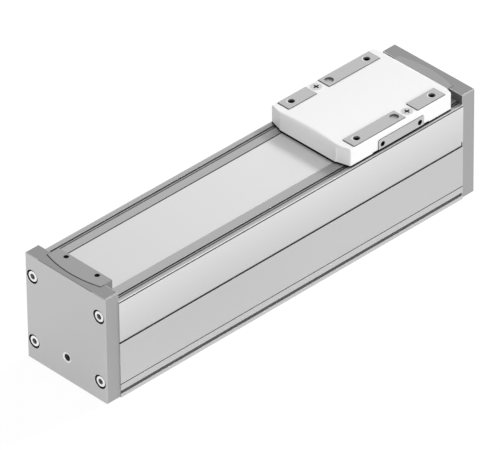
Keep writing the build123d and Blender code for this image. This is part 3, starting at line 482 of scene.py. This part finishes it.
# Port plugs: a screw plug with a hexagon socket closes the air connection in each end cap. A bright
# spot face runs round its mouth, which is painted dark as shade.
port_plug = [(2.05, -8.5, 0, 1), (2.05, -0.3, 0, 1), (1.8, 0.0, 0, 1), (1.5, 0.0, 0, 1),
             (1.25, -0.2, 6, 1), (1.25, -2.0, 6, 1), (0.2, -2.4, 0, 1)]
port_plug_sink = 1.2
for end, side in (("front", -1), ("rear", 1)):
    plug = turned(port_plug, on_cap(side, 0, port_height, port_plug_sink), facets=36)
    gather("port_plug_face_" + end, [plug], [zinc, dark_steel_and_recess_shade], "axis", "port_plug_" + end)


# Strip clamps: D-shaped milled blocks that hold the ends of the strip, each pulled down by two
# set screws that sit below its top.
clamp_top = 1000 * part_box("strip_clamp_rear")[1][2]
clamp_plate = finish("clamp_plate", 0.45, 0.45, 0.31, 0.30, 0.45, grain=0.05, edge=0.0003)
set_screw = [(1.2, -11.1, 0, 1), (1.6, -10.7, 0, 1), (1.6, -0.4, 0, 1), (1.25, 0.0, 0, 1),
             (1.1, 0.0, 0, 1), (1.0, -0.1, 6, 1), (1.0, -1.5, 6, 1), (0.2, -1.9, 0, 1)]
set_screw_x, set_screw_y, set_screw_sink = 164.4, 15.5, 1.2
for end, side in (("front", -1), ("rear", 1)):
    # A dark spot is painted round each set screw as shade in its hole.
    for y in (-set_screw_y, set_screw_y):
        tint(clamp_plate, 0.02, round_spot, Centre=(side * set_screw_x / 1000, y / 1000, 0), Radius=0.0020)
    dress("strip_clamp_" + end, clamp_plate)
    screws = [turned(set_screw, upright(side * set_screw_x, y, clamp_top - set_screw_sink), facets=36)
              for y in (-set_screw_y, set_screw_y)]
    gather("set_screws_" + end, screws, [zinc, dark_steel_and_recess_shade], "axis", "clamp_screws_" + end)


# Cover strip: a thin band of stainless steel, brushed along its length and clamped at both ends.
# The carriage lifts it wherever it stands, so the flat band is drawn whole from clamp to clamp.
brushed_band = finish("brushed_band", 0.35, 0.40, 0.66, 0.605, 0.62, lines=0.05, line_fineness=1.6,
                      grain=0.02)
# Painted light: the band is painted paler from near the front clamp towards the rear, as a sheen along its
# length.
paler_from, paler_over = -0.165, 0.25
tint(brushed_band, 0.72, region, Middle=(paler_from, 0, 0), Low=(0, -1, -1),
     Rise=(paler_over, *sharp[1:]))
strip_low, strip_high = (Vector(corner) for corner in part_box("cover_strip"))
bm = bmesh.new()
bmesh.ops.create_cube(bm, size=1.0, matrix=Matrix.Translation((strip_low + strip_high) / 2)
                      @ Matrix.Diagonal((*(strip_high - strip_low), 1)))
long_edges = [edge for edge in bm.edges if abs(edge.verts[0].co.x - edge.verts[1].co.x) > 0.01]
bmesh.ops.bevel(bm, geom=long_edges, offset=0.00008, segments=2, profile=0.5, affect="EDGES", material=-1)
gather("flat_band", [bm], [brushed_band], "axis", "cover_strip", radians(20))
dress("strip_loop", brushed_band)


# Magnet strips: ferrite powder bound in black rubber, cut in strips and glued into the profile
# under the edges of the band, which they hold down.
magnet = finish("flexible_magnet", 0.0, 0.7, (0.06, 0.055, 0.05), grains=2500.0, grain=0.2)
dress("magnet_strips", magnet)


# Guide: a ground steel rail, with plugs over its screws, and two ball blocks with green return
# caps, black seals and brass grease nipples. Rubber buffers stop the carriage at both ends.
ground_steel = finish("ground_steel", 0.85, 0.25, 0.62, 0.66, 0.55, lines=0.08, line_fineness=2.0,
                      grain=0.04)
green_cap = finish("green_cap", 0.0, 0.45, (0.06, 0.22, 0.13), grains=2600.0, grain=0.12)
black_plastic = finish("black_plastic", 0.0, 0.5, 0.035, grains=2600.0, grain=0.2)
black_rubber_and_gap_shade = finish("black_rubber_and_gap_shade", 0.0, 0.85, 0.01, grains=1800.0, grain=0.2)
black_rubber_and_gap_shade.node_tree.nodes["Principled BSDF"].inputs["Specular IOR Level"].default_value = 0.1
nipple_brass = finish("nipple_brass", 0.9, 0.25, (0.72, 0.52, 0.22), grain=0.05)
for material, node_names in (
        (ground_steel, ("guide_rail", "bearing_block_front", "bearing_block_rear")),
        (black_plastic, ("rail_plugs",)),
        (dark_steel_and_recess_shade, ("rail_screws", "block_screws")),
        (green_cap, ("return_caps",)),
        (black_rubber_and_gap_shade, ("block_seals", "buffers_front", "buffers_rear")),
        (nipple_brass, ("grease_nipples",))):
    for node_name in node_names:
        dress(node_name, material)


# Carriage body: aluminium, machined all over. Its four pads and its side bosses come through openings in the
# cover, and their threaded holes are painted dark as shade, the pads' holes with a painted highlight on the
# far side of their rims.
body_low, body_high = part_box("carriage_body")
body_middle = (body_low[0] + body_high[0]) / 2
body_side, body_top = body_high[1] - 0.0003, body_high[2] - 0.0002
recess_bottom, pads_bottom = 0.09555, body_high[2] - 0.0018
mount_x, mount_y, boss_hole_x, boss_hole_z = 0.0375, 0.0325, 0.0185, 0.0866
machined = finish("machined_body", 0.50, 0.42, 0.50, 0.46, 0.42, grains=4000.0, grain=0.08, edge=0.0002)
# Painted highlight and shade at the holes: a bright disc set a little to the far side leaves a bright
# crescent on each pad hole's rim, and dark discs fill the pad holes and the boss holes.
for end in (-1, 1):
    for y in (-mount_y, mount_y):
        for shift, radius, tone in ((0.0003, 0.0029, 0.90), (0.0, 0.0027, 0.01)):
            tint(machined, tone, round_spot, Radius=radius,
                 Centre=(body_middle + end * mount_x - shift, y + shift, 0))
    tint(machined, 0.01, round_spot, Radius=0.0021, Flat=(1, 0, 1),
         Centre=(body_middle + end * boss_hole_x, 0, boss_hole_z))
# Painted shade: the walls of the pads and of their recesses are darker, and the body below the pads, under
# the cover, is nearly black.
for bottom, top, tone in ((recess_bottom, body_top, 0.14), (0, pads_bottom, 0.02)):
    tint(machined, tone, region, Low=(0, 0, bottom), High=(1, body_side, top))
dress("carriage_body", machined)


# Carriage cover: a thin shell moulded in white plastic, with a very fine texture, its faces painted lighter
# or darker by the way they face. A black band runs round under its edge as painted shade in the gap, with a
# piece across the strip at each end and one under each side boss.
moulded_white = finish("moulded_white", 0.0, 0.42, 0.90, 0.865, 0.94, grains=2200.0, grain=0.02,
                       bump=0.000006, edge=0.0015)
moulded_white.node_tree.nodes["Principled BSDF"].inputs["Specular IOR Level"].default_value = 0.4
dress("carriage_cover", moulded_white)
cover_low, cover_high = (1000 * Vector(corner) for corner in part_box("carriage_cover"))
cover_middle = (cover_low + cover_high) / 2
half_length = cover_high.x - cover_middle.x
# The black band is painted shade made as a piece: it stands a little proud of the cover's edge and darkens
# the gap under it.
gap_shade_proud, gap_shade_foot, gap_shade_height, gap_shade_thickness = 0.06, 81.25, 1.35, 0.8
front_half_width, front_step, corner_x = 27.96, 0.5, 50.05
quarter = [(half_length + gap_shade_proud, front_half_width),
           (half_length + gap_shade_proud - front_step, front_half_width),
           (corner_x, cover_high.y + gap_shade_proud)]
outline = quarter + [(-x, y) for x, y in reversed(quarter)] + [
    (-x, -y) for x, y in quarter] + [(x, -y) for x, y in reversed(quarter)]
bm = bmesh.new()
gap_shade_floor = bmesh.ops.contextual_create(bm, geom=[
    bm.verts.new((cover_middle.x + x, y, gap_shade_foot)) for x, y in outline])["faces"]
bmesh.ops.inset_region(bm, faces=gap_shade_floor, thickness=gap_shade_thickness, use_boundary=True,
                       use_even_offset=True)
bmesh.ops.delete(bm, geom=gap_shade_floor, context="FACES_ONLY")
raised = bmesh.ops.extrude_face_region(bm, geom=bm.faces[:])["geom"]
bmesh.ops.translate(bm, vec=(0, 0, gap_shade_height),
                    verts=[item for item in raised if isinstance(item, bmesh.types.BMVert)])
strip_gap_shade, boss_gap_shade = Vector((1.1, 50.8, 1.1)), Vector((55.8, gap_shade_thickness, 1.0))
strip_gap_shade_height, boss_gap_shade_height = 81.5, 82.6
for side in (-1, 1):
    for size, x, y, z in (
            (strip_gap_shade, side * (half_length + gap_shade_proud - strip_gap_shade.x / 2), 0, strip_gap_shade_height),
            (boss_gap_shade, 0, side * (cover_high.y + gap_shade_proud - boss_gap_shade.y / 2), boss_gap_shade_height)):
        bmesh.ops.create_cube(bm, size=1.0, matrix=Matrix.Translation((cover_middle.x + x, y, z))
                              @ Matrix.Diagonal((*size, 1)))
bmesh.ops.recalc_face_normals(bm, faces=bm.faces)
bmesh.ops.scale(bm, vec=(0.001, 0.001, 0.001), verts=bm.verts)
gather("cover_gap_shade", [bm], [black_rubber_and_gap_shade], "carriage")


# Cover screws: two countersunk steel screws with a cross recess, zinc plated and dull, which hold
# the cover on the carriage body. Their cross recesses are painted dark as shade.
screw_top = 1000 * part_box("cover_screws")[1][2]
screw_grey = finish("screw_grey", 0.45, 0.40, 0.60, 0.60, grains=5000.0, grain=0.08, edge=0.0001)
cross_screw = [(1.9, -9.0, 0, 0), (1.9, -3.0, 0, 0), (3.9, -0.6, 0, 0), (3.9, 0.02, 0, 0),
               (4.35, 0.02, 0, 0), (4.3, 0.1, 0, 0), (3.4, 0.12, 0, 0), (2.4, 0.12, 1.3, 0),
               (2.2, -1.2, 1.1, 1), (0.3, -1.6, 0, 1)]
cross_screw_x, cross_screw_y = 11.8, 33.5
heads = [turned(cross_screw, upright(cover_middle.x - side * cross_screw_x, side * cross_screw_y,
                                     screw_top), facets=96) for side in (-1, 1)]
gather("cross_head_screws", heads, [screw_grey, dark_steel_and_recess_shade], "carriage", "cover_screws")


# Slider, pressers and wipers: black plastic guides over and under the band, which lift it over the
# carriage body and lay it down again, and strips of grey felt that wipe it at both ends.
felt = finish("grey_felt", 0.0, 0.95, (0.60, 0.58, 0.54), grains=900.0, grain=0.4, bump=0.0001)
for node_name in ("strip_slider", "strip_presser_front", "strip_presser_rear"):
    dress(node_name, black_plastic)
for node_name in ("strip_wiper_front", "strip_wiper_rear"):
    dress(node_name, felt)
